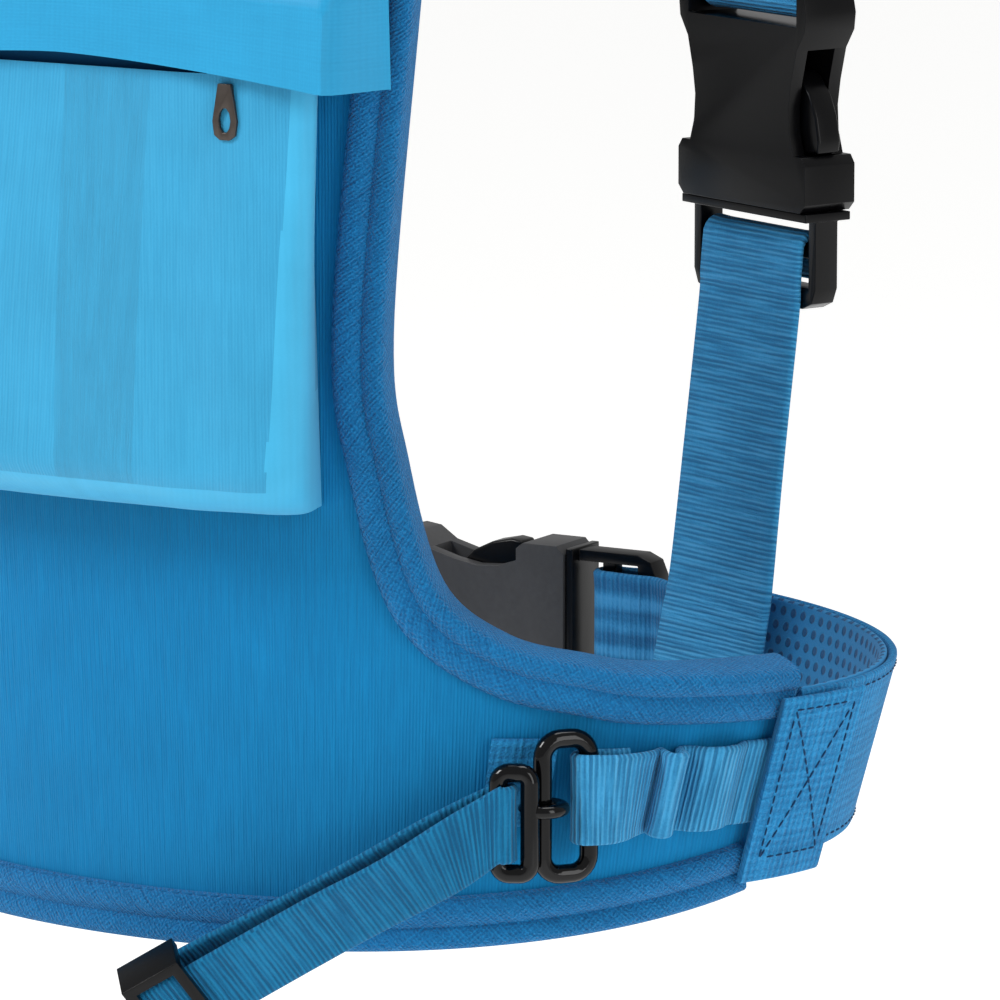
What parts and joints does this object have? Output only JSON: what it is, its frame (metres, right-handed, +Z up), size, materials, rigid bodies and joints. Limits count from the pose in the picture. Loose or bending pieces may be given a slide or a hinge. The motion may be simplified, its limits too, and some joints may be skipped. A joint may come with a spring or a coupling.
{
  "type": "safety harness vest",
  "caption": "Child's safety harness vest: padded bib with a zipped pocket, padded shoulder straps and waist belt with side-release buckles, side rings and a clip-on adjustable strap.",
  "frame": {"origin": "middle of the waist loop, halfway up the waist belt, on the line the wearer's trunk follows", "axes": "+Z up along the wearer's trunk, -Y the way the bib faces, +X towards the right of someone who faces the bib"},
  "size_m": [0.2856, 0.2542, 0.3967],
  "materials": {
    "cover": "ribbed woven cloth",
    "foam": "soft padding",
    "mesh": "honeycomb spacer mesh",
    "binding": "brushed twill tape",
    "pocket": "smooth satin cloth",
    "webbing": "woven webbing",
    "knit": "ribbed elastic knit",
    "plastic": "moulded, fine grain",
    "coil": "zip tape and nylon coil",
    "pull": "dark satin paint",
    "rod": "glossy black coat"
  },
  "bodies": {
    "vest": {"bib_outer_cover": "cover", "bib_foam": "foam", "bib_mesh_lining": "mesh", "belt_lining_right": "mesh", "belt_lining_left": "mesh", "armhole_binding_right": "binding", "armhole_binding_left": "binding", "hem_binding": "binding", "neck_binding": "binding", "pocket_body": "pocket", "pocket_flap": "pocket", "zip_tape": "coil", "zip_coil": "coil", "zip_stop_left": "pull", "zip_stop_right": "pull", "waist_belt_right": "knit", "waist_belt_left": "knit", "belt_patch_right": "knit", "belt_patch_left": "knit", "anchor_square_right": "knit", "anchor_square_left": "knit", "shoulder_pad_right": "knit", "shoulder_pad_left": "knit", "waist_web_right": "webbing", "waist_web_left": "webbing", "shoulder_web_lower_right": "webbing", "shoulder_web_lower_left": "webbing", "shoulder_web_upper_right": "webbing", "shoulder_web_upper_left": "webbing", "daisy_webbing_right": "webbing", "daisy_webbing_left": "webbing", "waist_buckle_female": "plastic", "shoulder_right_buckle_female": "plastic", "shoulder_left_buckle_female": "plastic"},
    "waist_male": {"waist_buckle_male": "plastic"},
    "waist_arm_upper": {"waist_latch_upper": "plastic"},
    "waist_arm_lower": {"waist_latch_lower": "plastic"},
    "shoulder_right_male": {"shoulder_right_buckle_male": "plastic"},
    "shoulder_right_arm_outer": {"shoulder_right_latch_outer": "plastic"},
    "shoulder_right_arm_inner": {"shoulder_right_latch_inner": "plastic"},
    "ring_right": {"side_ring_right": "rod"},
    "shoulder_left_male": {"shoulder_left_buckle_male": "plastic"},
    "shoulder_left_arm_outer": {"shoulder_left_latch_outer": "plastic"},
    "shoulder_left_arm_inner": {"shoulder_left_latch_inner": "plastic"},
    "ring_left": {"side_ring_left": "rod"},
    "near_hook": {"near_hook": "rod"},
    "near_gate": {"near_hook_gate": "rod"},
    "tether": {"tether_strap": "webbing", "tether_back_layer": "webbing"},
    "slide_buckle": {"tri_glide": "plastic"},
    "far_hook": {"far_hook": "rod"},
    "far_gate": {"far_hook_gate": "rod"},
    "zip_slider": {"zip_slider": "pull"},
    "zip_pull": {"zip_pull": "pull"}
  },
  "joints": [
    {"name": "waist_release", "type": "slide", "parent": "vest", "child": "waist_male", "axis": [1, 0, 0], "range_m": [0, 0.03], "deforming": ["waist_web_right", "waist_latch_upper", "waist_latch_lower"]},
    {"name": "waist_arm_upper_press", "type": "hinge", "parent": "waist_male", "child": "waist_arm_upper", "pos_m": [0.0135, 0.088, 0.0127], "axis": [0, -1, 0], "range_deg": [0, 10], "stiffness_Nm_per_rad": 0.02},
    {"name": "waist_arm_lower_press", "type": "hinge", "parent": "waist_male", "child": "waist_arm_lower", "pos_m": [0.0135, 0.088, -0.0127], "axis": [0, 1, 0], "range_deg": [0, 10], "stiffness_Nm_per_rad": 0.02},
    {"name": "shoulder_right_release", "type": "slide", "parent": "vest", "child": "shoulder_right_male", "axis": [0, 0, -1], "range_m": [0, 0.03], "deforming": ["shoulder_web_lower_right", "shoulder_right_latch_outer", "shoulder_right_latch_inner"]},
    {"name": "shoulder_right_arm_outer_press", "type": "hinge", "parent": "shoulder_right_male", "child": "shoulder_right_arm_outer", "pos_m": [0.07651, 0.08263, 0.1115], "axis": [-0.4226, -0.9063, 0], "range_deg": [0, 10], "stiffness_Nm_per_rad": 0.02},
    {"name": "shoulder_right_arm_inner_press", "type": "hinge", "parent": "shoulder_right_male", "child": "shoulder_right_arm_inner", "pos_m": [0.05349, 0.09337, 0.1115], "axis": [0.4226, 0.9063, 0], "range_deg": [0, 10], "stiffness_Nm_per_rad": 0.02},
    {"name": "shoulder_left_release", "type": "slide", "parent": "vest", "child": "shoulder_left_male", "axis": [0, 0, -1], "range_m": [0, 0.03], "deforming": ["shoulder_web_lower_left", "shoulder_left_latch_outer", "shoulder_left_latch_inner"]},
    {"name": "shoulder_left_arm_outer_press", "type": "hinge", "parent": "shoulder_left_male", "child": "shoulder_left_arm_outer", "pos_m": [-0.07651, 0.08263, 0.1115], "axis": [-0.4226, 0.9063, 0], "range_deg": [0, 10], "stiffness_Nm_per_rad": 0.02},
    {"name": "shoulder_left_arm_inner_press", "type": "hinge", "parent": "shoulder_left_male", "child": "shoulder_left_arm_inner", "pos_m": [-0.05349, 0.09337, 0.1115], "axis": [0.4226, -0.9063, 0], "range_deg": [0, 10], "stiffness_Nm_per_rad": 0.02},
    {"name": "ring_right_swing", "type": "hinge", "parent": "vest", "child": "ring_right", "pos_m": [0.10299, -0.06328, -0.001], "axis": [0, 0, 1], "range_deg": [0, 60]},
    {"name": "ring_left_swing", "type": "hinge", "parent": "vest", "child": "ring_left", "pos_m": [-0.10299, -0.06328, -0.001], "axis": [0, 0, -1], "range_deg": [0, 90]},
    {"name": "near_hook_swing", "type": "hinge", "parent": "ring_right", "child": "near_hook", "pos_m": [0.09629, -0.07175, -0.001], "axis": [0, 0, 1], "range_deg": [-4, 60]},
    {"name": "near_gate_press", "type": "hinge", "parent": "near_hook", "child": "near_gate", "pos_m": [0.0934, -0.0752, -0.001], "axis": [0, 0, -1], "range_deg": [0, 15], "stiffness_Nm_per_rad": 0.002},
    {"name": "tether_swing", "type": "hinge", "parent": "near_hook", "child": "tether", "pos_m": [0.08991, -0.07965, -0.0035], "axis": [0, 0, 1], "range_deg": [-2, 40]},
    {"name": "slide_buckle_slide", "type": "slide", "parent": "tether", "child": "slide_buckle", "axis": [-0.7728, -0.3769, -0.5105], "range_m": [-0.031, 0.02], "deforming": ["tether_back_layer"]},
    {"name": "far_hook_swing", "type": "hinge", "parent": "tether", "child": "far_hook", "pos_m": [-0.02602, -0.13619, -0.08008], "axis": [-0.2203, -0.5952, 0.7728], "range_deg": [-50, 50]},
    {"name": "far_gate_press", "type": "hinge", "parent": "far_hook", "child": "far_gate", "pos_m": [-0.02903, -0.14135, -0.08168], "axis": [0.2203, 0.5952, -0.7728], "range_deg": [0, 30], "stiffness_Nm_per_rad": 0.002},
    {"name": "zip_slide", "type": "slide", "parent": "vest", "child": "zip_slider", "axis": [1, 0, 0], "range_m": [-0.09, 0.009]},
    {"name": "zip_pull_swing", "type": "hinge", "parent": "zip_slider", "child": "zip_pull", "pos_m": [0.041, -0.1101, 0.1555], "axis": [-1, 0, 0], "range_deg": [0, 85]}
  ]
}
